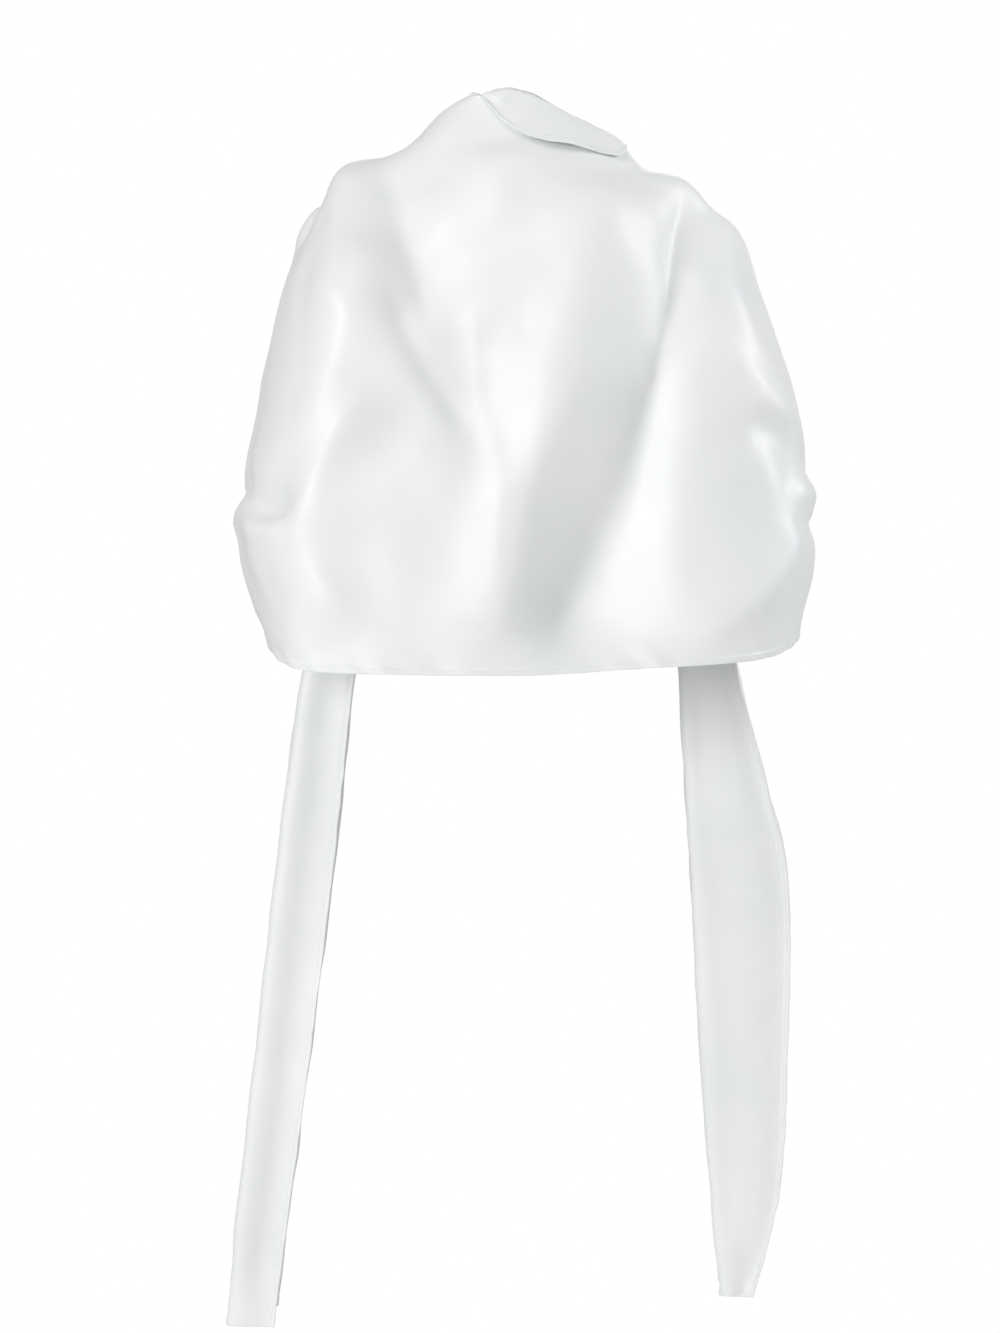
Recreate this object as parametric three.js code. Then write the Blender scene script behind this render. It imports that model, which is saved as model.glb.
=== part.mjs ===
// An evening stole: one long rectangle of white satin, worn round the shoulders.
// It crosses the back and wraps both bent arms. Each end goes over a forearm and hangs in folds inside it.
// Millimetres, +Z up, +Y the way the wearer faces, +X to the wearer's right.
// The origin lies between the shoulders at the base of the neck, where the wearer carries the stole.
import * as THREE from "three";

// Sizes of the cut and of its wall.
const CUT_WIDTH = 660;
const WALL = 1.6;
const JOIN_GAP = 0.3;

// How finely the sheet is divided: columns across the cut, and the longest step from row to row along it.
const COLUMNS = 55;
const BACK_STEP = 22;
const ARM_STEP = 36;
const HANGING_STEP = 105;
const SECTION_STEPS = 400;

// The upper edge that turns over behind the neck, and the lower part round an elbow, as shares of the columns.
const COLLAR_FROM = 0.8;
const ELBOW_TO = 0.36;

// Sections of the worn cloth, from the spine round each arm, each at its distance along the cut.
// A point is [out from the spine, forward, up]. A section runs from the lower hem past the elbow's height, up
// the arm and shoulder and over the crest to the free upper edge. gather is how deep the folds stand there.
// The upper edge lies inwards beside the neck and is turned out behind it. Where it passes from one to the
// other it stands bunched on the crest, and turn is the share of the cut's width up to the crest there.
const SPINE = {
  at: "spine", along: 0, gather: 0,
  hem: [0, -128, -525], elbow: [0, -124, -400], arm: [0, -130, -230],
  shoulder: [0, -110, -74], crest: [-12, -66, 53], edge: [-4, -92, 4],
};
const WORN = {
  left: [
    {
      at: "half turned edge", along: 22, gather: 0, turn: 0.905,
      hem: [24, -128, -525], elbow: [24, -125, -400], arm: [22, -131, -230],
      shoulder: [21, -111, -72], crest: [29, -64, 52], edge: [28, -82, 20],
    },
    {
      at: "standing edge", along: 48, gather: 0, turn: 0.91,
      hem: [51, -129, -525], elbow: [51, -126, -400], arm: [49, -133, -230],
      shoulder: [46, -112, -72], crest: [48, -61, 44], edge: [48, -61, 48],
    },
    {
      at: "neck", along: 117, gather: 0,
      hem: [125, -128, -524], elbow: [125, -126, -400], arm: [118, -134, -230],
      shoulder: [110, -102, -66], crest: [92, -26, 27], edge: [71, 10, 34],
    },
    {
      at: "shoulder", along: 226, gather: 0,
      hem: [222, -104, -519], elbow: [238, -98, -398], arm: [218, -95, -232],
      shoulder: [200, -58, -98], crest: [176, 0, -20], edge: [106, 80, -64],
    },
    {
      at: "outer arm", along: 332, gather: 0,
      hem: [260, 5, -490], elbow: [287, -6, -396], arm: [265, 4, -236],
      shoulder: [240, 18, -120], crest: [211, 40, -66], edge: [120, 108, -170],
    },
    {
      at: "front of arm", along: 438, gather: 16,
      hem: [258, 116, -470], elbow: [280, 102, -404], arm: [270, 86, -312],
      shoulder: [248, 80, -228], crest: [216, 90, -180], edge: [146, 110, -262],
    },
  ],
  right: [
    {
      at: "neck", along: 117, gather: 0,
      hem: [125, -128, -517], elbow: [125, -126, -400], arm: [118, -134, -230],
      shoulder: [106, -102, -76], crest: [78, -30, 15], edge: [98, -55, -11],
    },
    {
      at: "standing edge", along: 144, gather: 0, turn: 0.918,
      hem: [152, -126, -516], elbow: [155, -123, -400], arm: [143, -129, -230],
      shoulder: [131, -95, -82], crest: [98, -18, 2], edge: [97, -17, 6],
    },
    {
      at: "shoulder", along: 226, gather: 0,
      hem: [226, -104, -509], elbow: [238, -98, -398], arm: [212, -95, -238],
      shoulder: [190, -60, -106], crest: [156, -2, -28], edge: [98, 78, -72],
    },
    {
      at: "outer arm", along: 332, gather: 0,
      hem: [272, 5, -488], elbow: [287, -6, -396], arm: [269, 4, -252],
      shoulder: [234, 18, -134], crest: [213, 40, -80], edge: [116, 106, -176],
    },
    {
      at: "front of arm", along: 438, gather: 16,
      hem: [262, 116, -468], elbow: [280, 102, -404], arm: [268, 86, -314],
      shoulder: [242, 80, -232], crest: [208, 90, -188], edge: [144, 110, -264],
    },
  ],
};
const SECTION_POINTS = ["hem", "elbow", "arm", "shoulder", "crest", "edge"];
const CREST_PLACE = SECTION_POINTS.indexOf("crest") / (SECTION_POINTS.length - 1);

// Sections of the gathered cloth: up the outside of the forearm, over its top and down inside it to the hem
// of the end. Each is a line of folds from a front place to a rear place, [out from the spine, forward, up].
// The folds stand spread deep away from the spine and rise deep upwards, and so turn over the forearm.
const HANGING = {
  left: {
    legs: 11,
    rows: [
      { along: 540, front: [256, 216, -390], rear: [178, 112, -292], spread: -18, rise: 16 },
      { along: 594, front: [222, 226, -340], rear: [175, 92, -324], spread: 4, rise: 36 },
      { along: 644, front: [190, 216, -384], rear: [180, 66, -380], spread: 36, rise: 18 },
      { along: 692, front: [188, 206, -430], rear: [182, 52, -430], spread: 46, rise: 6 },
      { along: 792, front: [211, 198, -530], rear: [200, 46, -530], spread: 58, rise: 0 },
      { along: 978, front: [233, 194, -715], rear: [222, 44, -715], spread: 64, rise: 0 },
      { along: 1185, front: [257, 192, -920], rear: [246, 42, -920], spread: 60, rise: 0 },
      { along: 1387, front: [282, 190, -1120], rear: [271, 40, -1120], spread: 55, rise: 0 },
      { along: 1452, front: [288, 190, -1185], rear: [277, 40, -1185], spread: 52, rise: 0 },
    ],
  },
  right: {
    legs: 8,
    rows: [
      { along: 540, front: [256, 216, -390], rear: [176, 112, -294], spread: -18, rise: 16 },
      { along: 594, front: [222, 226, -340], rear: [173, 92, -326], spread: 4, rise: 36 },
      { along: 644, front: [190, 216, -384], rear: [174, 66, -380], spread: 38, rise: 18 },
      { along: 692, front: [184, 206, -430], rear: [174, 52, -430], spread: 50, rise: 6 },
      { along: 792, front: [196, 200, -530], rear: [187, 46, -530], spread: 64, rise: 0 },
      { along: 917, front: [214, 196, -653], rear: [206, 44, -653], spread: 90, rise: 0 },
      { along: 983, front: [225, 195, -718], rear: [217, 43, -718], spread: 103, rise: 0 },
      { along: 1186, front: [230, 193, -920], rear: [222, 42, -920], spread: 92, rise: 0 },
      { along: 1326, front: [231, 191, -1060], rear: [223, 43, -1060], spread: 72, rise: 0 },
      { along: 1423, front: [221, 190, -1156], rear: [213, 44, -1156], spread: 33, rise: 0 },
    ],
  },
};

// The last of those rows that lies on the forearm, where the end begins to hang.
const ROWS_ON_FOREARM = 3;

// How the folds of a gathered line bend: the greatest swing of the line from its own direction, and how far
// and how often along the line the folds crowd up or open out.
const FOLD_SWING = 1.62;
const FOLD_CROWD = 0.022;
const FOLD_CROWD_WAVES = 1.6;
const FOLD_STEPS = 880;

// The large drape folds of the worn cloth, each along a line from one place of the cut to another. A place is
// [distance along from the spine, distance up from the lower hem]. A trough has a negative height.
const FOLDS = [
  { from: [152, 440], to: [46, 60], width: 42, height: -16 },
  { from: [72, 450], to: [-28, 50], width: 32, height: 10 },
  { from: [-132, 453], to: [-25, 236], width: 30, height: -9 },
  { from: [-170, 405], to: [-209, 179], width: 30, height: 7 },
  { from: [-114, 255], to: [-235, 166], width: 24, height: -8 },
  { from: [-235, 168], to: [-385, 175], width: 12, height: -7 },
  { from: [-235, 141], to: [-385, 141], width: 14, height: 5 },
  { from: [-241, 556], to: [-302, 453], width: 12, height: -6 },
  { from: [-264, 566], to: [-328, 462], width: 14, height: 5 },
  { from: [212, 396], to: [302, 217], width: 20, height: 7 },
  { from: [235, 236], to: [356, 193], width: 15, height: -8 },
  { from: [277, 170], to: [385, 164], width: 11, height: 6 },
  { from: [268, 134], to: [385, 132], width: 11, height: -6 },
];

const satin = new THREE.MeshStandardMaterial({ color: 0xeef0ef, roughness: 0.42, metalness: 0 });

const mix = THREE.MathUtils.lerp;

// A gathered line as unit folds: how far along it each column lies, from 0 to 1, and how far across, from
// -0.5 towards the spine to 0.5 away. The line's direction swings like a meander, so the folds are round.
function foldLine(legs) {
  const line = [{ along: 0, across: 0 }];
  for (let step = 0; step < FOLD_STEPS; step += 1) {
    const share = (step + 0.5) / FOLD_STEPS;
    const crowded = share + FOLD_CROWD * Math.sin(2 * Math.PI * FOLD_CROWD_WAVES * share);
    const turn = FOLD_SWING * Math.sin(Math.PI * legs * crowded);
    const last = line[step];
    line.push({ along: last.along + Math.cos(turn), across: last.across - Math.sin(turn) });
  }
  const reach = line[FOLD_STEPS].along;
  const low = Math.min(...line.map((point) => point.across));
  const high = Math.max(...line.map((point) => point.across));
  return (share) => {
    const point = line[Math.round(share * FOLD_STEPS)];
    return { along: point.along / reach, across: (point.across - low) / (high - low) - 0.5 };
  };
}

// A worn section as a smooth curve through its named points, told by the share of the cut's width.
function wornSection(row, sign, folds) {
  const points = SECTION_POINTS.map((name) => {
    const [out, forward, up] = row[name];
    return new THREE.Vector3(sign * out, forward, up);
  });
  const curve = new THREE.CatmullRomCurve3(points);
  const lengths = curve.getLengths(SECTION_STEPS);
  const crestAt = lengths[SECTION_STEPS * CREST_PLACE] / lengths[SECTION_STEPS];
  const turn = row.turn ?? crestAt;
  const lengthAt = (share) => (
    share < turn ? mix(0, crestAt, share / turn) : mix(crestAt, 1, (share - turn) / (1 - turn))
  );
  return {
    along: sign * row.along,
    at: (share) => curve.getPointAt(lengthAt(share)),
    gatherAt: (share) => -row.gather * folds(share).across,
  };
}

// A gathered section: the line of folds laid from front to rear at its height.
function hangingSection(row, sign, folds) {
  const at = (share) => {
    const { along, across } = folds(share);
    const [out, forward, up] = row.front.map((size, axis) => mix(size, row.rear[axis], along));
    return new THREE.Vector3(sign * (out + row.spread * across), forward, up - row.rise * across);
  };
  return { along: sign * row.along, at, gatherAt: () => 0 };
}

// All the sections of one side, from the spine outwards.
const foldLines = { left: foldLine(HANGING.left.legs), right: foldLine(HANGING.right.legs) };
function sideSections(side, sign) {
  return [
    ...WORN[side].map((row) => wornSection(row, sign, foldLines[side])),
    ...HANGING[side].rows.map((row) => hangingSection(row, sign, foldLines[side])),
  ];
}

const sections = [
  ...sideSections("left", -1).reverse(),
  wornSection(SPINE, 1, foldLines.right),
  ...sideSections("right", 1),
];

// The stations, counted along the sections, where one stretch goes on into the next.
const lastStation = sections.length - 1;
const spineStation = sections.findIndex((section) => section.along === 0);
const leftForearm = HANGING.left.rows.length - 1 - ROWS_ON_FOREARM;
const rightForearm = lastStation - HANGING.right.rows.length + 1 + ROWS_ON_FOREARM;
const worn = (side) => WORN[side].findIndex((row) => row.at === "shoulder") + 1;
const leftShoulder = spineStation - worn("left");
const rightShoulder = spineStation + worn("right");
const leftFront = spineStation - WORN.left.length;
const rightFront = spineStation + WORN.right.length;

// The rows of the sheet: each a place between two sections, as a station number with its fraction.
function sheetRows() {
  const places = [];
  for (let station = 0; station < lastStation; station += 1) {
    const onBack = station >= leftShoulder && station < rightShoulder;
    const onArm = station >= leftForearm && station < rightForearm;
    const step = (onBack && BACK_STEP) || (onArm && ARM_STEP) || HANGING_STEP;
    const parts = Math.ceil((sections[station + 1].along - sections[station].along) / step);
    for (let part = 0; part < parts; part += 1) places.push(station + part / parts);
  }
  return [...places, lastStation];
}

// How far the drape folds lift the cloth at a place of the cut: soft ridges and troughs with fading ends.
function foldLift(along, up) {
  return FOLDS.reduce((lift, fold) => {
    const [fromAlong, fromUp] = fold.from;
    const run = new THREE.Vector2(fold.to[0] - fromAlong, fold.to[1] - fromUp);
    const away = new THREE.Vector2(along - fromAlong, up - fromUp);
    const share = away.dot(run) / run.lengthSq();
    const aside = away.cross(run) / run.length();
    const beyond = Math.max(0, -share, share - 1) * run.length();
    return lift + fold.height * Math.exp(-(aside ** 2 + beyond ** 2) / (2 * fold.width ** 2));
  }, 0);
}

// The outward normal at each point of a grid, from its neighbours.
function gridNormals(field) {
  const nearRow = (row) => field[THREE.MathUtils.clamp(row, 0, field.length - 1)];
  const nearColumn = (column) => THREE.MathUtils.clamp(column, 0, COLUMNS);
  return field.map((line, row) => line.map((_, column) => {
    const alongCut = nearRow(row + 1)[column].clone().sub(nearRow(row - 1)[column]);
    const acrossCut = line[nearColumn(column + 1)].clone().sub(line[nearColumn(column - 1)]);
    return alongCut.cross(acrossCut).normalize();
  }));
}

// The middle surface of the cloth as a grid of points, a row for each place along the cut.
function sheetGrid(places) {
  const shares = Array.from({ length: COLUMNS + 1 }, (_, column) => column / COLUMNS);
  const lines = shares.map((share) => new THREE.CatmullRomCurve3(sections.map(({ at }) => at(share))));
  const smooth = places.map((place) => lines.map((line) => line.getPoint(place / lastStation)));
  const smoothNormals = gridNormals(smooth);
  return places.map((place, i) => {
    const before = sections[Math.floor(place)];
    const after = sections[Math.ceil(place)];
    const along = mix(before.along, after.along, place % 1);
    return shares.map((share, j) => {
      const gather = mix(before.gatherAt(share), after.gatherAt(share), place % 1);
      const lift = foldLift(along, share * CUT_WIDTH) + gather;
      return smooth[i][j].clone().addScaledVector(smoothNormals[i][j], lift);
    });
  });
}

const rows = sheetRows();
const grid = sheetGrid(rows);
const normals = gridNormals(grid);

// A row of the grid drawn half a gap towards the next one, so that two stretches don't touch.
function drawnIn(line, towards) {
  return line.map((point, i) => {
    const way = towards[i].clone().sub(point).normalize();
    return point.clone().addScaledVector(way, JOIN_GAP / 2);
  });
}

// The part of a grid from one row and column to another.
function cutOut(field, [rowFrom, rowTo], [columnFrom, columnTo]) {
  return field.slice(rowFrom, rowTo + 1).map((line) => line.slice(columnFrom, columnTo + 1));
}

// The grid turned over, rows for columns.
function turned(field) {
  return field[0].map((_, column) => field.map((line) => line[column]));
}

// A grid with its first and last rows drawn in where they join another stretch.
function parted(field, [first, last]) {
  const kept = [...field];
  const end = field.length - 1;
  if (first) kept[0] = drawnIn(field[0], field[1]);
  if (last) kept[end] = drawnIn(field[end], field[end - 1]);
  return kept;
}

// A closed wall on both sides of a grid, with a rim round its edge.
function wallGeometry(middle, outward) {
  const height = middle.length;
  const width = middle[0].length;
  const positions = [];
  [WALL / 2, -WALL / 2].forEach((offset) => {
    middle.forEach((line, i) => line.forEach((point, j) => {
      positions.push(...point.clone().addScaledVector(outward[i][j], offset).toArray());
    }));
  });
  const outer = (i, j) => i * width + j;
  const inner = (i, j) => height * width + outer(i, j);
  const index = [];
  const quad = (a, b, c, d) => index.push(a, b, c, a, c, d);
  for (let i = 0; i < height - 1; i += 1) {
    for (let j = 0; j < width - 1; j += 1) {
      quad(outer(i, j), outer(i + 1, j), outer(i + 1, j + 1), outer(i, j + 1));
      quad(inner(i, j), inner(i, j + 1), inner(i + 1, j + 1), inner(i + 1, j));
    }
    quad(outer(i + 1, 0), outer(i, 0), inner(i, 0), inner(i + 1, 0));
    quad(outer(i, width - 1), outer(i + 1, width - 1), inner(i + 1, width - 1), inner(i, width - 1));
  }
  for (let j = 0; j < width - 1; j += 1) {
    quad(outer(0, j), outer(0, j + 1), inner(0, j + 1), inner(0, j));
    quad(outer(height - 1, j + 1), outer(height - 1, j), inner(height - 1, j), inner(height - 1, j + 1));
  }
  const geometry = new THREE.BufferGeometry();
  geometry.setAttribute("position", new THREE.Float32BufferAttribute(positions, 3));
  geometry.setIndex(index);
  geometry.computeVertexNormals();
  return geometry;
}

// One stretch of the cloth as a mesh, from one station to another and one column to another, parted from its
// neighbours on the sides where it joins them.
function stretch(name, stations, columnSpan, rowJoins, columnJoins) {
  const rowSpan = stations.map((station) => rows.indexOf(station));
  const along = parted(cutOut(grid, rowSpan, columnSpan), rowJoins);
  const middle = turned(parted(turned(along), columnJoins));
  const mesh = new THREE.Mesh(wallGeometry(middle, cutOut(normals, rowSpan, columnSpan)), satin);
  mesh.name = name;
  return mesh;
}

const collar = Math.round(COLLAR_FROM * COLUMNS);
const elbow = Math.round(ELBOW_TO * COLUMNS);
const fullWidth = [0, COLUMNS];
const first = [true, false];
const last = [false, true];
const both = [true, true];
const neither = [false, false];

const stole = new THREE.Group();
stole.name = "evening_stole";
stole.add(
  stretch("left_end", [0, leftForearm], fullWidth, last, neither),
  stretch("left_forearm_wrap", [leftForearm, leftFront], fullWidth, both, neither),
  stretch("left_elbow_wrap", [leftFront, leftShoulder], [0, elbow], both, last),
  stretch("left_arm_wrap", [leftFront, leftShoulder], [elbow, COLUMNS], both, first),
  stretch("back", [leftShoulder, rightShoulder], [0, collar], both, last),
  stretch("collar_fold", [leftShoulder, rightShoulder], [collar, COLUMNS], both, first),
  stretch("right_arm_wrap", [rightShoulder, rightFront], [elbow, COLUMNS], both, first),
  stretch("right_elbow_wrap", [rightShoulder, rightFront], [0, elbow], both, last),
  stretch("right_forearm_wrap", [rightFront, rightForearm], fullWidth, both, neither),
  stretch("right_end", [rightForearm, lastStation], fullWidth, first, neither),
);

export default stole;
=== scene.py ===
"""An evening stole, worn: one long rectangle of white satin with a narrow turned hem, on its solids' form."""
import math

import bpy
import numpy as np
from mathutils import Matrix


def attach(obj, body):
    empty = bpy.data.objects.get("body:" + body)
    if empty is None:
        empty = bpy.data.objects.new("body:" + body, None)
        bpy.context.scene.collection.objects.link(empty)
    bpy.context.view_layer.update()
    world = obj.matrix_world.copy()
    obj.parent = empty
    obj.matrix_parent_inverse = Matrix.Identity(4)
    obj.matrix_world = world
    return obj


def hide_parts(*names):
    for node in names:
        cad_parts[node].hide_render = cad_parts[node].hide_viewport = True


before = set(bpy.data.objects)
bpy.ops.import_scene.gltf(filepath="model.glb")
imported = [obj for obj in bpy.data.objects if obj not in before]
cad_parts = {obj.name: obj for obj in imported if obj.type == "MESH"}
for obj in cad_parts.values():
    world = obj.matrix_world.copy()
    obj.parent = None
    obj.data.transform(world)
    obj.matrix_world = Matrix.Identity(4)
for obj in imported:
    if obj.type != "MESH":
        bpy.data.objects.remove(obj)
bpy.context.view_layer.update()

MM_PER_M = 1000

# Sizes in millimetres: the cut, its cloth and its turned hem.
CUT_WIDTH = 660
CLOTH_HALF = 0.3
HEM_WIDTH = 7.0
HEM_HALF = 0.85
HEM_RIM = 0.35
STITCH_INSET = 5.2
STITCH_STEP = 2.9
STITCH_LENGTH = 2.0
STITCH_WIDTH = 0.5
STITCH_HEIGHT = 0.36

# Half the cloth's thickness at distances from the edge: [distance, half].
HEM_PROFILE = [
    [0, HEM_RIM],
    [0.5, 0.68],
    [1.3, HEM_HALF],
    [6.4, HEM_HALF],
    [HEM_WIDTH, 0.7],
    [7.7, CLOTH_HALF],
]

# A stitch is a slim bead: how many sides it has, the shares of its length where its two rings of points lie,
# and its points, with one at each end.
BEAD_SIDES = 4
BEAD_RINGS = (0.25, 0.75)
BEAD_POINTS = 2 * BEAD_SIDES + 2

# How finely the sheet is divided, and how much its sections are eased into one another.
WORN_STEP = 5.0
HANGING_STEP = 13.0
WORN_REACH = 700
COLUMN_STEP = 6.5
EASE_PASSES = 10
SECTION_STEPS = 400

# Lines of the grid at distances from an edge, and the least room between the last of them and the even lines.
HEM_LINES = [0.0, 0.5, 1.3, 3.2, STITCH_INSET, 6.4, HEM_WIDTH, 7.7, 9.0, 12.0]
HEM_ROOM = 2

# The section at the spine: its points from the lower hem to the upper edge.
# A point is [out from the spine, forward, up].
SPINE = [[0, -128, -525], [0, -124, -400], [0, -130, -230], [0, -110, -74], [-12, -66, 53], [-4, -92, 4]]

# The other sections of the worn cloth: distance along the cut, depth of the gathers, and the points.
WORN = {
    "left": [
        (22, 0, [[24, -128, -525], [24, -125, -400], [22, -131, -230],
                 [21, -111, -72], [29, -64, 52], [28, -82, 20]]),
        (48, 0, [[51, -129, -525], [51, -126, -400], [49, -133, -230],
                 [46, -112, -72], [48, -61, 44], [48, -61, 48]]),
        (117, 0, [[125, -128, -524], [125, -126, -400], [118, -134, -230],
                  [110, -102, -66], [92, -26, 27], [71, 10, 34]]),
        (226, 0, [[222, -104, -519], [238, -98, -398], [218, -95, -232],
                  [200, -58, -98], [176, 0, -20], [106, 80, -64]]),
        (332, 0, [[260, 5, -490], [287, -6, -396], [265, 4, -236],
                  [240, 18, -120], [211, 40, -66], [120, 108, -170]]),
        (438, 16, [[258, 116, -470], [280, 102, -404], [270, 86, -312],
                   [248, 80, -228], [216, 90, -180], [146, 110, -262]]),
    ],
    "right": [
        (117, 0, [[125, -128, -517], [125, -126, -400], [118, -134, -230],
                  [106, -102, -76], [78, -30, 15], [98, -55, -11]]),
        (144, 0, [[152, -126, -516], [155, -123, -400], [143, -129, -230],
                  [131, -95, -82], [98, -18, 2], [97, -17, 6]]),
        (226, 0, [[226, -104, -509], [238, -98, -398], [212, -95, -238],
                  [190, -60, -106], [156, -2, -28], [98, 78, -72]]),
        (332, 0, [[272, 5, -488], [287, -6, -396], [269, 4, -252],
                  [234, 18, -134], [213, 40, -80], [116, 106, -176]]),
        (438, 16, [[262, 116, -468], [280, 102, -404], [268, 86, -314],
                   [242, 80, -232], [208, 90, -188], [144, 110, -264]]),
    ],
}

# Where the upper edge stands bunched on the crest: distance along the cut, and the share of the cut's width
# up to the crest there.
TURNS = {-48: 0.91, -22: 0.905, 144: 0.918}

# Sections of the gathered cloth: distance along the cut, front and rear places, and the depth of the folds
# away from the spine and upwards.
LEGS = {"left": 11, "right": 8}
HANGING = {
    "left": [
        (540, [256, 216, -390], [178, 112, -292], -18, 16),
        (594, [222, 226, -340], [175, 92, -324], 4, 36),
        (644, [190, 216, -384], [180, 66, -380], 36, 18),
        (692, [188, 206, -430], [182, 52, -430], 46, 6),
        (792, [211, 198, -530], [200, 46, -530], 58, 0),
        (978, [233, 194, -715], [222, 44, -715], 64, 0),
        (1185, [257, 192, -920], [246, 42, -920], 60, 0),
        (1387, [282, 190, -1120], [271, 40, -1120], 55, 0),
        (1452, [288, 190, -1185], [277, 40, -1185], 52, 0),
    ],
    "right": [
        (540, [256, 216, -390], [176, 112, -294], -18, 16),
        (594, [222, 226, -340], [173, 92, -326], 4, 36),
        (644, [190, 216, -384], [174, 66, -380], 38, 18),
        (692, [184, 206, -430], [174, 52, -430], 50, 6),
        (792, [196, 200, -530], [187, 46, -530], 64, 0),
        (917, [214, 196, -653], [206, 44, -653], 90, 0),
        (983, [225, 195, -718], [217, 43, -718], 103, 0),
        (1186, [230, 193, -920], [222, 42, -920], 92, 0),
        (1326, [231, 191, -1060], [223, 43, -1060], 72, 0),
        (1423, [221, 190, -1156], [213, 44, -1156], 33, 0),
    ],
}

# How the folds of a gathered line bend and crowd.
FOLD_SWING = 1.62
FOLD_CROWD = 0.022
FOLD_CROWD_WAVES = 1.6
FOLD_STEPS = 880

# The large drape folds: a line from one place of the cut to another, its width and its height.
# A place is [distance along from the spine, distance up from the lower hem].
FOLDS = [
    ([152, 440], [46, 60], 42, -16),
    ([72, 450], [-28, 50], 32, 10),
    ([-132, 453], [-25, 236], 30, -9),
    ([-170, 405], [-209, 179], 30, 7),
    ([-114, 255], [-235, 166], 24, -8),
    ([-235, 168], [-385, 175], 12, -7),
    ([-235, 141], [-385, 141], 14, 5),
    ([-241, 556], [-302, 453], 12, -6),
    ([-264, 566], [-328, 462], 14, 5),
    ([212, 396], [302, 217], 20, 7),
    ([235, 236], [356, 193], 15, -8),
    ([277, 170], [385, 164], 11, 6),
    ([268, 134], [385, 132], 11, -6),
]

# The finer creases, each along a line of places: its width to the left and to the right of the way it runs,
# and its height at the crest. CREASE_ROUND is how round a crest is, as a share of its width.
# CREASE_FADE is the length over which a crease comes and goes, at most CREASE_FADE_SHARE of its line.
CREASE_ROUND = 0.6
CREASE_FADE = 70
CREASE_FADE_SHARE = 0.45
CREASES = [
    ([[94, 545], [84, 505], [72, 453], [51, 309], [15, 225], [-6, 180], [-24, 60], [-26, 10]], (22, 46), 14),
    ([[216, 535], [189, 462], [114, 264], [87, 177], [33, 39], [20, 8]], (34, 22), -16),
    ([[-225, 570], [-208, 500], [-196, 441], [-182, 369], [-168, 310]], (38, 30), 12),
    ([[-165, 570], [-148, 505], [-132, 455], [-110, 405], [-84, 340]], (76, 24), -18),
    ([[-150, 420], [-126, 354], [-84, 285], [-39, 213]], (18, 9), -7),
    ([[-234, 423], [-177, 357], [-198, 258], [-204, 174]], (18, 24), 7),
    ([[-150, 300], [-174, 236], [-193, 190], [-203, 150], [-208, 100]], (26, 14), 15),
    ([[-318, 138], [-255, 141], [-196, 150]], (5, 30), 8),
    ([[-318, 150], [-255, 153], [-202, 159]], (6, 5), -10),
    ([[-322, 172], [-265, 174], [-222, 176]], (26, 10), 7),
    ([[-222, 150], [-203, 122], [-176, 68], [-158, 30]], (20, 46), 12),
    ([[-262, 120], [-240, 70], [-222, 20]], (30, 30), -6),
    ([[160, 385], [183, 345], [240, 270], [292, 200]], (18, 44), 12),
    ([[170, 255], [205, 190]], (22, 22), -2),
    ([[228, 240], [275, 222], [320, 205]], (18, 18), 3),
    ([[300, 190], [268, 135], [242, 98], [195, 55], [148, 22], [125, 8]], (22, 36), 13),
    ([[138, 183], [231, 177]], (8, 12), -1.5),
    ([[-237, 507], [-264, 471], [-282, 423], [-309, 399]], (5, 10), -3),
    ([[141, 537], [222, 498], [300, 470]], (8, 18), -4),
    ([[-14, 552], [-18, 515], [-23, 480], [-32, 415]], (40, 26), 7),
    ([[-57, 405], [-45, 273], [-27, 204], [-27, 36]], (4, 6), 1.1),
    ([[-62, 654], [0, 654], [72, 654]], (16, 16), 4.4),
    ([[45, 654], [100, 652], [152, 654]], (16, 16), 4.4),
    ([[26, 604], [0, 618], [-15, 632], [-30, 662]], (8, 6), 4.5),
    ([[8, 598], [-15, 614], [-36, 636]], (7, 8), -3.5),
    ([[-115, 540], [-60, 532], [-27, 518], [24, 514], [87, 534], [150, 562]], (10, 28), 4.5),
    ([[-15, 495], [42, 514], [87, 534], [150, 568], [200, 595]], (9, 18), -5),
    ([[-730, 634], [-1000, 632], [-1250, 636], [-1450, 634]], (12, 14), 4),
    ([[-700, 606], [-1000, 610], [-1300, 608], [-1450, 610]], (8, 10), -3),
    ([[720, 628], [900, 634], [1150, 630], [1400, 636]], (16, 18), 5),
    ([[740, 602], [950, 596], [1200, 604], [1400, 600]], (12, 12), -4),
]

# Slight creases scattered over a part of the cut: how many, where along and up, their slants in radians from
# the length of the cut, their lengths and their greatest height. Their widths are drawn from SCATTERED_WIDTHS.
SCATTERED_WIDTHS = (7, 15)
SCATTERED = [
    (18, (-130, 130), (60, 430), (1.1, 2.0), (50, 140), 1.0),
    (14, (-60, 30), (190, 345), (0.6, 2.6), (25, 60), 1.8),
    (14, (-130, 20), (8, 45), (0.8, 2.3), (18, 42), 1.6),
    (14, (-330, -180), (180, 520), (1.2, 2.2), (40, 110), 1.2),
    (14, (180, 330), (180, 520), (1.0, 2.0), (40, 110), 1.2),
    (14, (-420, -200), (20, 200), (2.2, 3.2), (40, 100), 1.4),
    (14, (200, 420), (20, 200), (-0.1, 0.9), (40, 100), 1.4),
    (34, (-1400, -720), (10, 650), (-0.06, 0.06), (150, 420), 1.3),
    (34, (720, 1380), (10, 650), (-0.06, 0.06), (150, 420), 1.3),
]

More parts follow.
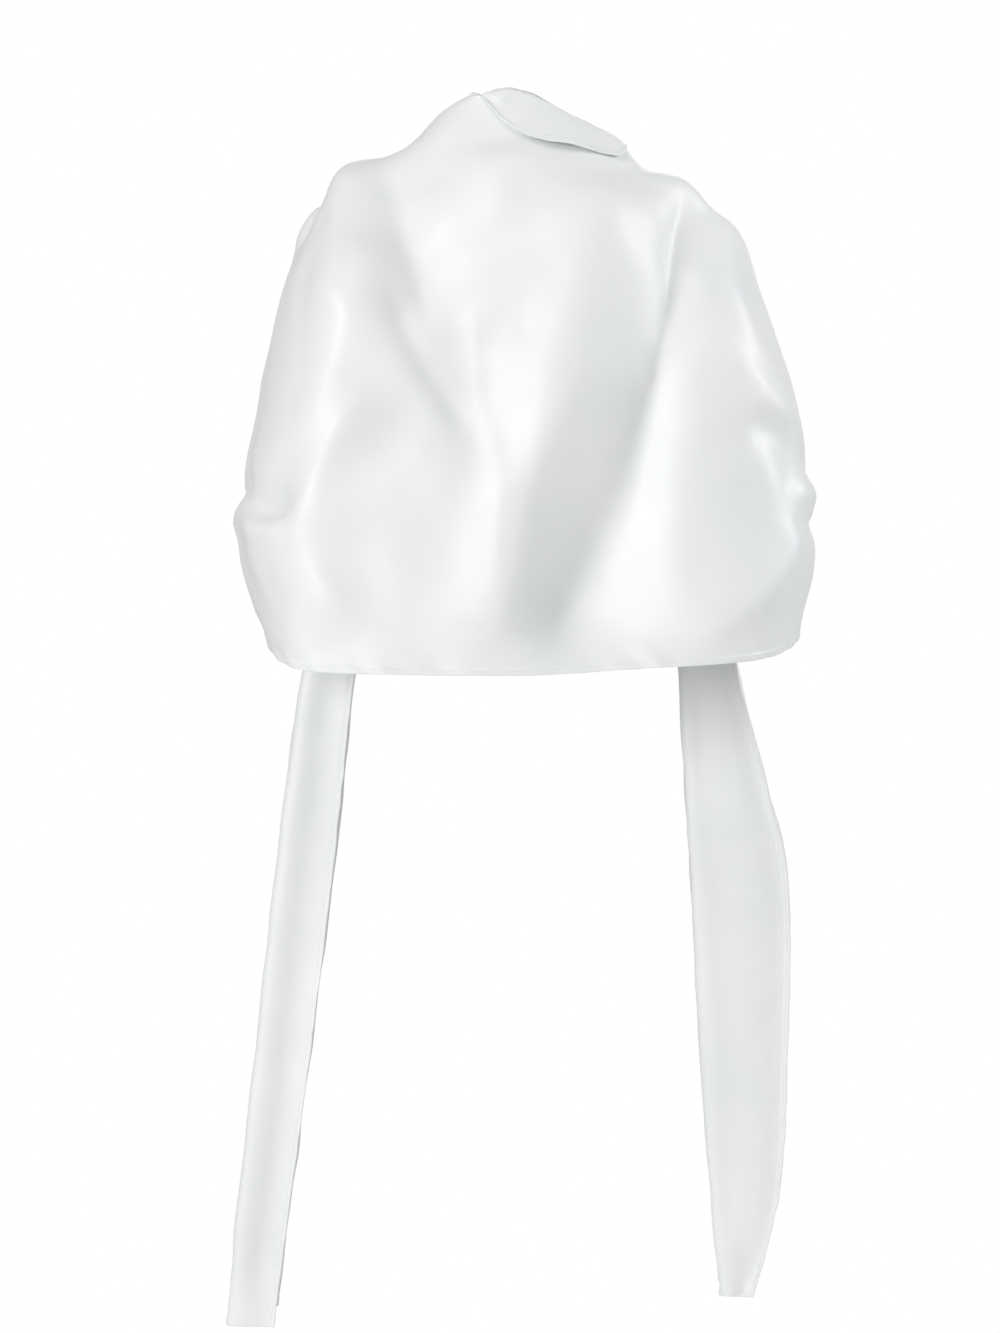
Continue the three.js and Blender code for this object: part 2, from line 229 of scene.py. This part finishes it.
# Faint waves all over the cloth: how many, the spans that their sizes are drawn from, and RIPPLE_HEIGHT, the
# height of a wave that is RIPPLE_LENGTH long. A wave's crests bend from side to side.
RIPPLES = 16
RIPPLE_LENGTHS = (45, 130)
RIPPLE_SLANTS = (-0.5, 0.5)
RIPPLE_BENDS = (10, 30)
RIPPLE_BEND_RUNS = (60, 140)
RIPPLE_BEND_STARTS = (0, 6)
RIPPLE_HEIGHT = 0.16
RIPPLE_LENGTH = 90

# Small puckers beside the hem: how many waves, their shortest and longest, their height, and the distance
# over which they fade.
PUCKERS = 7
PUCKER_SHORTEST = 14
PUCKER_LONGEST = 46
PUCKER_HEIGHT = 0.34
PUCKER_FADE = 14

SEED = 7


def curve_points(points, place):
    """Smooth curves through points, stations first, read at fractional station numbers."""
    near = np.clip(np.floor(place).astype(int), 0, len(points) - 2)
    share = (place - near).reshape((-1,) + (1,) * (points.ndim - 1))
    ends = np.concatenate([[2 * points[0] - points[1]], points, [2 * points[-1] - points[-2]]])
    p0, p1, p2, p3 = (ends[near + k] for k in range(4))
    pairs = ((p0, p1), (p1, p2), (p2, p3))
    d0, d1, d2 = (np.sqrt(np.linalg.norm(b - a, axis=-1, keepdims=True)) for a, b in pairs)
    t1 = ((p1 - p0) / d0 - (p2 - p0) / (d0 + d1) + (p2 - p1) / d1) * d1
    t2 = ((p2 - p1) / d1 - (p3 - p1) / (d1 + d2) + (p3 - p2) / d2) * d1
    square = -3 * p1 + 3 * p2 - 2 * t1 - t2
    cube = 2 * p1 - 2 * p2 + t1 + t2
    return p1 + share * (t1 + share * (square + share * cube))


def fold_line(legs, share):
    """A gathered line as unit folds: how far along it each column lies, and how far across."""
    steps = (np.arange(FOLD_STEPS) + 0.5) / FOLD_STEPS
    crowded = steps + FOLD_CROWD * np.sin(2 * np.pi * FOLD_CROWD_WAVES * steps)
    turn = FOLD_SWING * np.sin(np.pi * legs * crowded)
    along = np.concatenate([[0], np.cumsum(np.cos(turn))])
    across = np.concatenate([[0], -np.cumsum(np.sin(turn))])
    across = (across - across.min()) / np.ptp(across) - 0.5
    marks = np.linspace(0, 1, FOLD_STEPS + 1)
    return np.interp(share, marks, along / along[-1]), np.interp(share, marks, across)


def worn_section(points, sign, share, turn=None):
    """A worn section, read at shares of the cut's width. Its crest is at the share turn, if that is given."""
    points = np.array(points, float) * [sign, 1, 1]
    places = np.linspace(0, len(points) - 1, SECTION_STEPS + 1)
    steps = np.linalg.norm(np.diff(curve_points(points, places), axis=0), axis=1)
    run = np.concatenate([[0], np.cumsum(steps)])
    crest = np.interp(len(points) - 2, places, run)
    length = np.interp(share, [0, turn or crest / run[-1], 1], [0, crest, run[-1]])
    return curve_points(points, np.interp(length, run, places))


def hanging_section(row, sign, line):
    """A gathered section: the line of folds laid from front to rear."""
    _, front, rear, spread, rise = row
    run, across = line
    out, forward, up = (np.outer(1 - run, front) + np.outer(run, rear)).T
    return np.stack([sign * (out + spread * across), forward, up - rise * across], axis=1)


def all_sections(share):
    """Distances along the cut, points and gathers of every section, from the left end to the right."""
    found = [(0, worn_section(SPINE, 1, share), 0 * share)]
    for side, sign in (("left", -1), ("right", 1)):
        line = fold_line(LEGS[side], share)
        for along, gather, points in WORN[side]:
            section = worn_section(points, sign, share, TURNS.get(sign * along))
            found.append((sign * along, section, -gather * line[1]))
        for row in HANGING[side]:
            found.append((sign * row[0], hanging_section(row, sign, line), 0 * share))
    found.sort(key=lambda section: section[0])
    return [np.array(part, float) for part in zip(*found)]


def grid_normals(points):
    """The outward normal at each point of a grid."""
    normals = np.cross(np.gradient(points, axis=0), np.gradient(points, axis=1))
    return normals / np.linalg.norm(normals, axis=-1, keepdims=True)


def fold_lift(along, up):
    """How far the drape folds lift the cloth: soft ridges and troughs with fading ends."""
    lift = np.zeros_like(along)
    for (from_along, from_up), (to_along, to_up), width, height in FOLDS:
        run_along = to_along - from_along
        run_up = to_up - from_up
        length = math.hypot(run_along, run_up)
        share = ((along - from_along) * run_along + (up - from_up) * run_up) / length**2
        aside = ((along - from_along) * run_up - (up - from_up) * run_along) / length
        beyond = np.maximum(0, np.maximum(-share, share - 1)) * length
        lift += height * np.exp(-(aside**2 + beyond**2) / (2 * width**2))
    return lift


def scattered_creases(dice):
    """Slight creases at seeded places, each a straight line with its widths and height."""
    found = []
    for count, along_span, up_span, slants, lengths, height in SCATTERED:
        for _ in range(count):
            middle = np.array([dice.uniform(*along_span), dice.uniform(*up_span)])
            slant = dice.uniform(*slants)
            reach = np.array([math.cos(slant), math.sin(slant)]) * dice.uniform(*lengths) / 2
            widths = dice.uniform(*SCATTERED_WIDTHS, 2)
            found.append(([middle - reach, middle, middle + reach], widths, dice.uniform(-height, height)))
    return found


def crease_lift(along, up, creases):
    """How far the finer creases lift the cloth. Each follows its line of places and fades at both ends."""
    lift = np.zeros_like(along)
    for line, (width_left, width_right), height in creases:
        line = np.array(line, float)
        runs = np.linalg.norm(np.diff(line, axis=0), axis=1)
        starts = np.concatenate([[0], np.cumsum(runs)])
        nearest = np.full(along.shape, np.inf)
        aside = np.zeros_like(along)
        travel = np.zeros_like(along)
        for start, end, run, begun in zip(line, line[1:], runs, starts):
            way = (end - start) / run
            away_along = along - start[0]
            away_up = up - start[1]
            share = np.clip(away_along * way[0] + away_up * way[1], 0, run)
            off_along = away_along - share * way[0]
            off_up = away_up - share * way[1]
            distance = np.hypot(off_along, off_up)
            side = np.sign(off_along * way[1] - off_up * way[0])
            closer = distance < nearest
            nearest = np.where(closer, distance, nearest)
            aside = np.where(closer, side * distance, aside)
            travel = np.where(closer, begun + share, travel)
        fade_length = min(CREASE_FADE, CREASE_FADE_SHARE * starts[-1])
        part = np.clip(np.minimum(travel, starts[-1] - travel) / fade_length, 0, 1)
        fade = part**2 * (3 - 2 * part)
        width = np.where(aside < 0, width_left, width_right)
        lift += height * fade * np.exp(CREASE_ROUND - np.hypot(aside / width, CREASE_ROUND))
    return lift


def ripple_lift(along, up, dice):
    """Slight unevenness of hanging satin: faint waves of several lengths, all over the cloth."""
    lift = np.zeros_like(along)
    for _ in range(RIPPLES):
        length = dice.uniform(*RIPPLE_LENGTHS)
        angle = dice.uniform(*RIPPLE_SLANTS)
        phase = dice.uniform(0, 2 * np.pi)
        reach = dice.uniform(*RIPPLE_BENDS)
        bend = reach * np.sin(up / dice.uniform(*RIPPLE_BEND_RUNS) + dice.uniform(*RIPPLE_BEND_STARTS))
        wave = np.sin(2 * np.pi * ((along + bend) * np.cos(angle) + up * np.sin(angle)) / length + phase)
        lift += RIPPLE_HEIGHT * wave * length / RIPPLE_LENGTH
    return lift


def hem_pucker(along, up, edge, dice):
    """Small puckers where the turned hem draws the cloth in."""
    run = along + up
    lift = np.zeros_like(along)
    for _ in range(PUCKERS):
        length = dice.uniform(PUCKER_SHORTEST, PUCKER_LONGEST)
        phase = dice.uniform(0, 2 * np.pi)
        lift += np.sin(2 * np.pi * run / length + phase) * length / PUCKER_LONGEST
    return PUCKER_HEIGHT * lift * np.exp(-edge / PUCKER_FADE)


def edge_lines(low, high, inner):
    """Lines from low to high: close together in the hem at both ends, and evenly spread between."""
    hem = np.array(HEM_LINES)
    clear = hem[-1] + HEM_ROOM
    middle = inner[(inner > low + clear) & (inner < high - clear)]
    return np.concatenate([low + hem, middle, (high - hem)[::-1]])


def ease(points, passes):
    """A grid with its rows eased into one another, its first and last rows kept."""
    for _ in range(passes):
        points[1:-1] = (points[:-2] + 2 * points[1:-1] + points[2:]) / 4
    return points


# The middle surface of the cloth.
dice = np.random.default_rng(SEED)
left_reach = -HANGING["left"][-1][0]
right_reach = HANGING["right"][-1][0]
inner_rows = np.concatenate([
    np.arange(left_reach, -WORN_REACH, HANGING_STEP),
    np.arange(-WORN_REACH, WORN_REACH, WORN_STEP),
    np.arange(WORN_REACH, right_reach, HANGING_STEP),
])
row_at = edge_lines(left_reach, right_reach, inner_rows)
column_at = edge_lines(0, CUT_WIDTH, np.arange(0, CUT_WIDTH, COLUMN_STEP))
stations, section_points, section_gathers = all_sections(column_at / CUT_WIDTH)
counted = np.arange(len(stations))
place = np.interp(row_at, stations, counted)
base = ease(curve_points(section_points, place), EASE_PASSES)
gather = np.stack([np.interp(place, counted, column) for column in section_gathers.T], axis=1)
along, up = np.meshgrid(row_at, column_at, indexing="ij")
edge = np.minimum(np.minimum(up, CUT_WIDTH - up), np.minimum(along - left_reach, right_reach - along))
lift = fold_lift(along, up) + gather + crease_lift(along, up, CREASES + scattered_creases(dice))
lift += ripple_lift(along, up, dice) + hem_pucker(along, up, edge, dice)
middle = base + grid_normals(base) * lift[..., None]

# The two faces of the cloth, thicker in the hem.
half = np.interp(edge, *np.transpose(HEM_PROFILE))
normals = grid_normals(middle)
outer = (middle + normals * half[..., None]) / MM_PER_M
inner = (middle - normals * half[..., None]) / MM_PER_M


def mesh_object(name, vertices, faces, corners=None):
    """A smooth mesh object, with its flat places as UVs in metres where they are given."""
    mesh = bpy.data.meshes.new(name)
    mesh.from_pydata(vertices, [], faces)
    mesh.polygons.foreach_set("use_smooth", np.ones(len(mesh.polygons), bool))
    if corners is not None:
        vertex_of = np.empty(len(mesh.loops), int)
        mesh.loops.foreach_get("vertex_index", vertex_of)
        layer = mesh.uv_layers.new(name="cut")
        layer.data.foreach_set("uv", corners[vertex_of].ravel())
    mesh.update()
    mesh.validate()
    thing = bpy.data.objects.new(name, mesh)
    bpy.context.scene.collection.objects.link(thing)
    return thing


def grid_quads(*corners):
    """Four-cornered faces from the numbers of their first, second, third and fourth corners."""
    return np.stack(corners, axis=-1).reshape(-1, 4)


def shell_faces(height, width):
    """The faces of a closed shell: an outer grid, an inner grid and a rim between them."""
    number = np.arange(height * width).reshape(height, width)
    back = number + height * width
    quads = [
        grid_quads(number[:-1, :-1], number[1:, :-1], number[1:, 1:], number[:-1, 1:]),
        grid_quads(back[:-1, :-1], back[:-1, 1:], back[1:, 1:], back[1:, :-1]),
        grid_quads(number[1:, 0], number[:-1, 0], back[:-1, 0], back[1:, 0]),
        grid_quads(number[:-1, -1], number[1:, -1], back[1:, -1], back[:-1, -1]),
        grid_quads(number[0, :-1], number[0, 1:], back[0, 1:], back[0, :-1]),
        grid_quads(number[-1, 1:], number[-1, :-1], back[-1, :-1], back[-1, 1:]),
    ]
    return np.concatenate(quads).tolist()


flat_places = np.stack([up, along], axis=-1).reshape(-1, 2) / MM_PER_M
cloth = mesh_object(
    "stole_cloth",
    np.concatenate([outer.reshape(-1, 3), inner.reshape(-1, 3)]).tolist(),
    shell_faces(*along.shape),
    np.concatenate([flat_places, flat_places]),
)


def stitch_row(line, out):
    """Small stitches along a line of points on the cloth's face, each a slim bead."""
    run = np.concatenate([[0], np.cumsum(np.linalg.norm(np.diff(line, axis=0), axis=1))])
    starts = np.arange(HEM_WIDTH, run[-1] - HEM_WIDTH, STITCH_STEP)

    def read(values, at):
        return np.stack([np.interp(at, run, values[:, axis]) for axis in range(3)], axis=1)

    first = read(line, starts)
    last = read(line, starts + STITCH_LENGTH)
    raised = read(out, starts + STITCH_LENGTH / 2)
    way = (last - first) / np.linalg.norm(last - first, axis=1, keepdims=True)
    aside = np.cross(way, raised)
    vertices = [first]
    for share in BEAD_RINGS:
        centre = first + (last - first) * share
        for angle in np.arange(BEAD_SIDES) * 2 * np.pi / BEAD_SIDES:
            side = aside * math.cos(angle) * STITCH_WIDTH / 2
            vertices.append(centre + side + raised * math.sin(angle) * STITCH_HEIGHT)
    vertices.append(last)
    return np.stack(vertices, axis=1)


# The line of stitches that holds the hem, on both faces and along all four sides.
stitch_rows = []
stitch_row_low = int(np.argmin(abs(row_at - left_reach - STITCH_INSET)))
stitch_row_high = int(np.argmin(abs(row_at - right_reach + STITCH_INSET)))
stitch_column_low = int(np.argmin(abs(column_at - STITCH_INSET)))
stitch_column_high = int(np.argmin(abs(column_at - CUT_WIDTH + STITCH_INSET)))
for face, way_out in ((outer, normals), (inner, -normals)):
    for row in (stitch_row_low, stitch_row_high):
        stitch_rows.append(stitch_row(face[row] * MM_PER_M, way_out[row]))
    for column in (stitch_column_low, stitch_column_high):
        stitch_rows.append(stitch_row(face[:, column] * MM_PER_M, way_out[:, column]))
stitch_points = np.concatenate(stitch_rows)
bead = []
for turn in range(BEAD_SIDES):
    near = 1 + turn
    near_following = 1 + (turn + 1) % BEAD_SIDES
    far = near + BEAD_SIDES
    far_following = near_following + BEAD_SIDES
    bead.append([0, near_following, near])
    bead.append([near, near_following, far_following, far])
    bead.append([far, far_following, BEAD_POINTS - 1])
stitch_faces = [
    [corner + BEAD_POINTS * count for corner in face]
    for count in range(len(stitch_points))
    for face in bead
]
stitches = mesh_object("hem_stitches", (stitch_points.reshape(-1, 3) / MM_PER_M).tolist(), stitch_faces)


def add_node(tree, kind, **settings):
    """A node of a material or world with its settings and unlinked socket values."""
    node = tree.nodes.new(kind)
    for name, value in settings.items():
        if name in node.inputs:
            node.inputs[name].default_value = value
        else:
            setattr(node, name, value)
    return node


def satin_material():
    """White satin: smooth and softly shining, with a fine slanting weave and slight unevenness."""
    material = bpy.data.materials.new("satin_white")
    material.use_nodes = True
    tree = material.node_tree
    link = tree.links.new
    shader = tree.nodes["Principled BSDF"]
    shader.inputs["IOR"].default_value = 1.5
    shader.inputs["Specular IOR Level"].default_value = 0.5
    shader.inputs["Anisotropic"].default_value = 0.35
    shader.inputs["Sheen Weight"].default_value = 0.18
    shader.inputs["Sheen Roughness"].default_value = 0.45
    cut = add_node(tree, "ShaderNodeUVMap", uv_map="cut")

    tone = add_node(tree, "ShaderNodeTexNoise", Scale=7.0, Detail=3.0)
    tone_range = add_node(tree, "ShaderNodeValToRGB")
    tone_range.color_ramp.elements[0].position = 0.3
    tone_range.color_ramp.elements[0].color = (0.76, 0.772, 0.78, 1)
    tone_range.color_ramp.elements[1].position = 0.7
    tone_range.color_ramp.elements[1].color = (0.81, 0.815, 0.815, 1)
    link(cut.outputs["UV"], tone.inputs["Vector"])
    link(tone.outputs["Fac"], tone_range.inputs["Fac"])
    link(tone_range.outputs["Color"], shader.inputs["Base Color"])

    gloss = add_node(tree, "ShaderNodeTexNoise", Scale=26.0, Detail=4.0)
    gloss_range = add_node(tree, "ShaderNodeMapRange")
    gloss_range.inputs["To Min"].default_value = 0.42
    gloss_range.inputs["To Max"].default_value = 0.54
    link(cut.outputs["UV"], gloss.inputs["Vector"])
    link(gloss.outputs["Fac"], gloss_range.inputs["Value"])
    link(gloss_range.outputs["Result"], shader.inputs["Roughness"])

    slant = add_node(tree, "ShaderNodeMapping")
    slant.inputs["Rotation"].default_value = (0, 0, math.radians(24))
    slant.inputs["Scale"].default_value = (1500, 420, 1)
    weave = add_node(tree, "ShaderNodeTexNoise", Scale=1.0, Detail=1.0)
    link(cut.outputs["UV"], slant.inputs["Vector"])
    link(slant.outputs["Vector"], weave.inputs["Vector"])
    weave_bump = add_node(tree, "ShaderNodeBump", Strength=0.06, Distance=0.0004)
    link(weave.outputs["Fac"], weave_bump.inputs["Height"])

    rumple = add_node(tree, "ShaderNodeTexNoise", Scale=34.0, Detail=2.0)
    link(cut.outputs["UV"], rumple.inputs["Vector"])
    rumple_bump = add_node(tree, "ShaderNodeBump", Strength=0.12, Distance=0.002)
    link(rumple.outputs["Fac"], rumple_bump.inputs["Height"])
    link(weave_bump.outputs["Normal"], rumple_bump.inputs["Normal"])
    link(rumple_bump.outputs["Normal"], shader.inputs["Normal"])

    tangent = add_node(tree, "ShaderNodeTangent", direction_type="UV_MAP", uv_map="cut")
    link(tangent.outputs["Tangent"], shader.inputs["Tangent"])
    return material


def thread_material():
    """White sewing thread, a little duller than the satin, with a twist."""
    material = bpy.data.materials.new("thread_white")
    material.use_nodes = True
    tree = material.node_tree
    link = tree.links.new
    shader = tree.nodes["Principled BSDF"]
    shader.inputs["Sheen Weight"].default_value = 0.2
    places = add_node(tree, "ShaderNodeTexCoord")
    twist = add_node(tree, "ShaderNodeTexNoise", Scale=900.0, Detail=2.0)
    link(places.outputs["Object"], twist.inputs["Vector"])
    tone = add_node(tree, "ShaderNodeValToRGB")
    tone.color_ramp.elements[0].color = (0.74, 0.75, 0.755, 1)
    tone.color_ramp.elements[1].color = (0.84, 0.845, 0.845, 1)
    link(twist.outputs["Fac"], tone.inputs["Fac"])
    link(tone.outputs["Color"], shader.inputs["Base Color"])
    rough = add_node(tree, "ShaderNodeMapRange")
    rough.inputs["To Min"].default_value = 0.5
    rough.inputs["To Max"].default_value = 0.66
    link(twist.outputs["Fac"], rough.inputs["Value"])
    link(rough.outputs["Result"], shader.inputs["Roughness"])
    return material


def floor_material():
    """A plain pale studio floor, faintly uneven."""
    material = bpy.data.materials.new("floor_pale")
    material.use_nodes = True
    tree = material.node_tree
    shader = tree.nodes["Principled BSDF"]
    shader.inputs["Roughness"].default_value = 0.8
    places = add_node(tree, "ShaderNodeTexCoord")
    noise = add_node(tree, "ShaderNodeTexNoise", Scale=3.0, Detail=3.0)
    tone = add_node(tree, "ShaderNodeValToRGB")
    tone.color_ramp.elements[0].color = (0.80, 0.80, 0.80, 1)
    tone.color_ramp.elements[1].color = (0.86, 0.86, 0.86, 1)
    tree.links.new(places.outputs["Object"], noise.inputs["Vector"])
    tree.links.new(noise.outputs["Fac"], tone.inputs["Fac"])
    tree.links.new(tone.outputs["Color"], shader.inputs["Base Color"])
    return material


cloth.data.materials.append(satin_material())
stitches.data.materials.append(thread_material())

for piece in (cloth, stitches):
    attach(piece, "root")
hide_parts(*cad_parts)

# The floor, a plain disc on the ground under the stole.
FLOOR_HEIGHT = -1.48
FLOOR_CENTRE = (0.0, -0.3)
FLOOR_RADIUS = 1.55
FLOOR_CORNERS = 96
ring = []
for turn in np.linspace(0, 2 * math.pi, FLOOR_CORNERS, endpoint=False):
    floor_x = FLOOR_CENTRE[0] + FLOOR_RADIUS * math.cos(turn)
    floor_y = FLOOR_CENTRE[1] + FLOOR_RADIUS * math.sin(turn)
    ring.append((floor_x, floor_y, FLOOR_HEIGHT))
floor = mesh_object("floor", ring, [list(range(len(ring)))])
floor.data.materials.append(floor_material())


def area_light(name, place, aim, size, power, colour, shine=1.0):
    """A soft square studio light at a place, turned to its aim. Shine is how strong its gleam is."""
    lamp = bpy.data.lights.new(name, "AREA")
    lamp.size = size
    lamp.energy = power
    lamp.color = colour
    lamp.specular_factor = shine
    thing = bpy.data.objects.new(name, lamp)
    thing.location = place
    way = np.array(aim) - np.array(place)
    level = math.hypot(way[0], way[1])
    thing.rotation_euler = (math.atan2(level, -way[2]), 0, math.atan2(-way[0], way[1]))
    bpy.context.scene.collection.objects.link(thing)


area_light("key", (-3.1, -3.8, 0.5), (0, 0, -0.5), 2.2, 148, (1.0, 0.995, 0.985))
area_light("right", (3.1, 0.2, 1.0), (0, 0, -0.4), 1.4, 60, (0.99, 0.995, 1.0), 0.2)
area_light("low", (1.1, -3.2, -2.4), (0, 0, -0.8), 1.8, 30, (0.98, 0.99, 1.0), 0.5)
area_light("top", (-0.4, -1.6, 2.8), (0, 0, -0.2), 1.4, 16, (1.0, 0.99, 0.98), 0.3)
area_light("front", (0.2, 3.4, 1.2), (0, 0, -0.5), 1.8, 40, (1.0, 0.995, 0.99))

# White all round: fully white behind the stole, and softer as a light.
world = bpy.data.worlds.new("studio")
world.use_nodes = True
bpy.context.scene.world = world
sky = world.node_tree
sky.nodes.clear()
seen = add_node(sky, "ShaderNodeBackground", Color=(1, 1, 1, 1), Strength=1.0)
lighting = add_node(sky, "ShaderNodeBackground", Color=(0.96, 0.98, 1.0, 1), Strength=0.38)
ray = add_node(sky, "ShaderNodeLightPath")
choice = add_node(sky, "ShaderNodeMixShader")
result = add_node(sky, "ShaderNodeOutputWorld")
sky.links.new(ray.outputs["Is Camera Ray"], choice.inputs["Fac"])
sky.links.new(lighting.outputs["Background"], choice.inputs[1])
sky.links.new(seen.outputs["Background"], choice.inputs[2])
sky.links.new(choice.outputs["Shader"], result.inputs["Surface"])

# The camera: level and straight behind. The picture is VIEW_HEIGHT metres high at the origin's depth.
CAMERA_DISTANCE = 3.2
CAMERA_ASIDE = -0.027
CAMERA_HEIGHT = -0.516
VIEW_HEIGHT = 1.333
camera_data = bpy.data.cameras.new("camera")
camera_data.sensor_fit = "VERTICAL"
camera_data.sensor_height = 36
camera_data.lens = camera_data.sensor_height * CAMERA_DISTANCE / VIEW_HEIGHT
camera = bpy.data.objects.new("camera", camera_data)
camera.location = (CAMERA_ASIDE, -CAMERA_DISTANCE, CAMERA_HEIGHT)
camera.rotation_euler = (math.pi / 2, 0, 0)
bpy.context.scene.collection.objects.link(camera)
bpy.context.scene.camera = camera
bpy.context.scene.view_settings.view_transform = "Standard"
